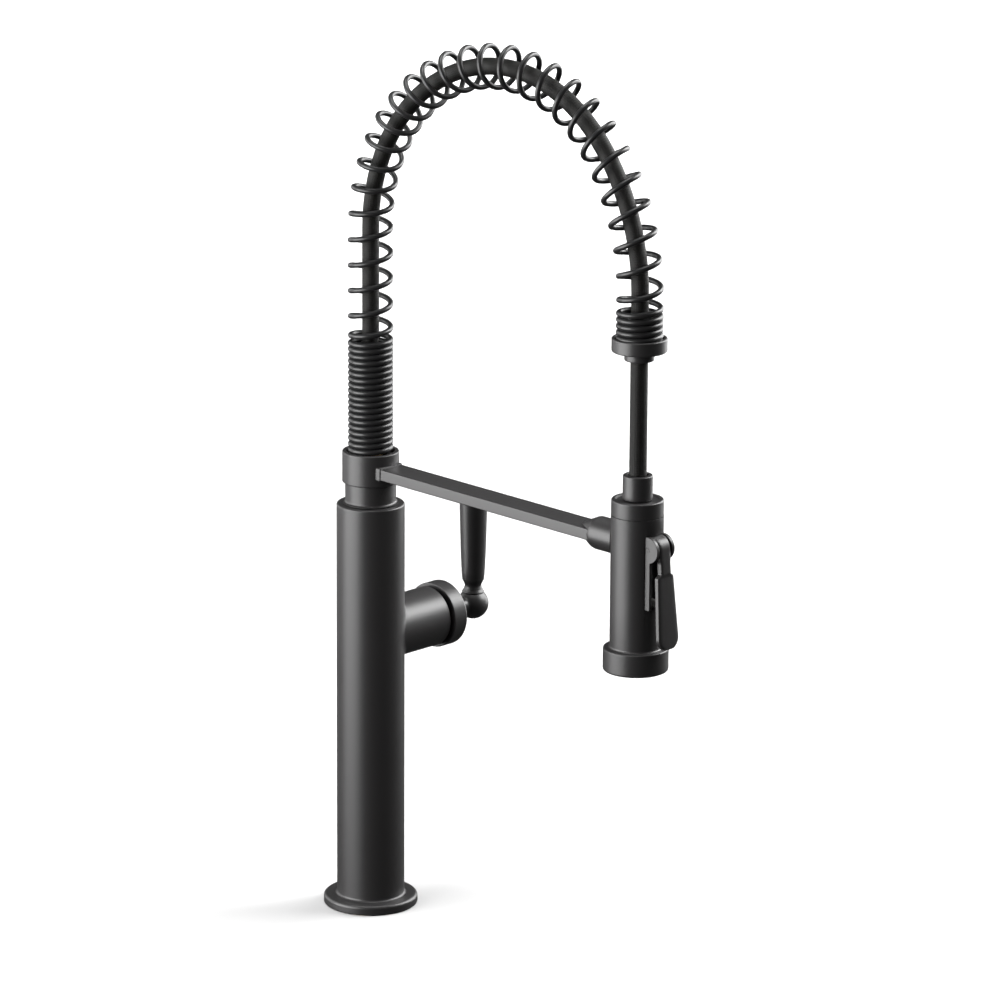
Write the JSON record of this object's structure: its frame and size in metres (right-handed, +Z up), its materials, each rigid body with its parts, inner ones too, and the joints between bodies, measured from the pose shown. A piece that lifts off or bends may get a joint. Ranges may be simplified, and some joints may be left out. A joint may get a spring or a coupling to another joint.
{
  "type": "kitchen faucet",
  "caption": "Tall matte black kitchen faucet with a spring-wrapped hose arch, a swivel arm that docks a pull-down spray head, and a side mixing handle.",
  "frame": {"origin": "centre of the base flange's underside, where it meets the deck", "axes": "+Z up along the column; the spout arm and spray head along -Y; the mixing valve and its handle along +X"},
  "size_m": [0.1351, 0.2882, 0.6708],
  "materials": {
    "satin_black": "satin powder finish on brass and zinc",
    "spring_black": "semi-gloss coated steel wire",
    "hose": "fine black braid over rubber",
    "rubber": "matte",
    "nozzle_rubber": "soft silicone nozzles",
    "black_plastic": "matte",
    "cartridge_plastic": "moulded",
    "white_plastic": "moulded",
    "brass": "machined",
    "copper": "drawn tube",
    "steel": "machined"
  },
  "bodies": {
    "column": {"base_flange": "satin_black", "deck_gasket": "rubber", "mounting_shank": "brass", "column_shell": "satin_black", "hot_inlet_tube": "copper", "cold_inlet_tube": "copper", "outlet_tube": "copper", "valve_block": "brass", "valve_housing": "satin_black", "housing_spacer": "black_plastic", "valve_cartridge": "cartridge_plastic", "cartridge_nut": "brass", "cartridge_seals": "rubber", "swivel_post": "brass", "swivel_seals": "rubber", "swivel_washer": "white_plastic", "retaining_clip": "steel"},
    "spout": {"spout_neck": "satin_black", "arm_collar": "satin_black", "collar_set_screw": "steel", "dock_arm": "satin_black", "dock_barrel": "satin_black", "dock_magnet": "steel", "dock_pad": "rubber", "arch_spring": "spring_black", "hose_nipple": "brass", "lower_crimp": "steel", "hose_arch": "hose", "spring_ferrule": "satin_black", "hose_guide": "satin_black", "hose_stop_ring": "steel"},
    "hose_end": {"hose_drop": "hose", "hose_nut": "satin_black", "swivel_stem": "brass"},
    "spray_head": {"head_cap": "satin_black", "cap_seal": "rubber", "head_shell": "satin_black", "head_keeper": "steel", "nozzle_ring": "satin_black", "spray_face": "nozzle_rubber", "spray_plate": "white_plastic", "aerator": "cartridge_plastic", "aerator_screen": "steel", "flow_body": "white_plastic", "check_valve": "cartridge_plastic", "lever_bracket": "satin_black", "lever_pin": "satin_black", "plunger_spring": "steel"},
    "spray_lever": {"spray_lever": "satin_black"},
    "plunger": {"plunger": "cartridge_plastic"},
    "handle_hub": {"handle_hub": "satin_black", "cartridge_stem": "steel"},
    "handle": {"handle_ball": "satin_black", "handle_lever": "satin_black", "lever_stud": "steel"}
  },
  "joints": [
    {"name": "spout_swivel", "type": "hinge", "parent": "column", "child": "spout", "pos_m": [0, 0, 0.2826], "axis": [0, 0, 1], "range_deg": [-90, 90]},
    {"name": "hose_swing", "type": "hinge", "parent": "spout", "child": "hose_end", "pos_m": [0, -0.2295, 0.3963], "axis": [-1, 0, 0], "range_deg": [0, 25]},
    {"name": "head_turn", "type": "hinge", "parent": "hose_end", "child": "spray_head", "pos_m": [0, -0.2295, 0.3], "axis": [0, 0, 1], "range_deg": [-90, 90]},
    {"name": "spray_trigger", "type": "hinge", "parent": "spray_head", "child": "spray_lever", "pos_m": [0, -0.2452, 0.2874], "axis": [1, 0, 0], "range_deg": [0, 6], "stiffness_Nm_per_rad": 0.4, "springref_deg": -5.73},
    {"name": "plunger_press", "type": "slide", "parent": "spray_head", "child": "plunger", "axis": [0, 1, 0], "range_m": [0, 0.0035], "deforming": ["plunger_spring"]},
    {"name": "temperature_turn", "type": "hinge", "parent": "column", "child": "handle_hub", "pos_m": [0.05, 0, 0.1818], "axis": [1, 0, 0], "range_deg": [-45, 45]},
    {"name": "flow_tilt", "type": "hinge", "parent": "handle_hub", "child": "handle", "pos_m": [0.062, 0, 0.1818], "axis": [0, 1, 0], "range_deg": [0, 18]}
  ],
  "couplings": [
    {"joint": "plunger_press", "follows": "spray_trigger", "m_per_rad": 0.0333}
  ]
}
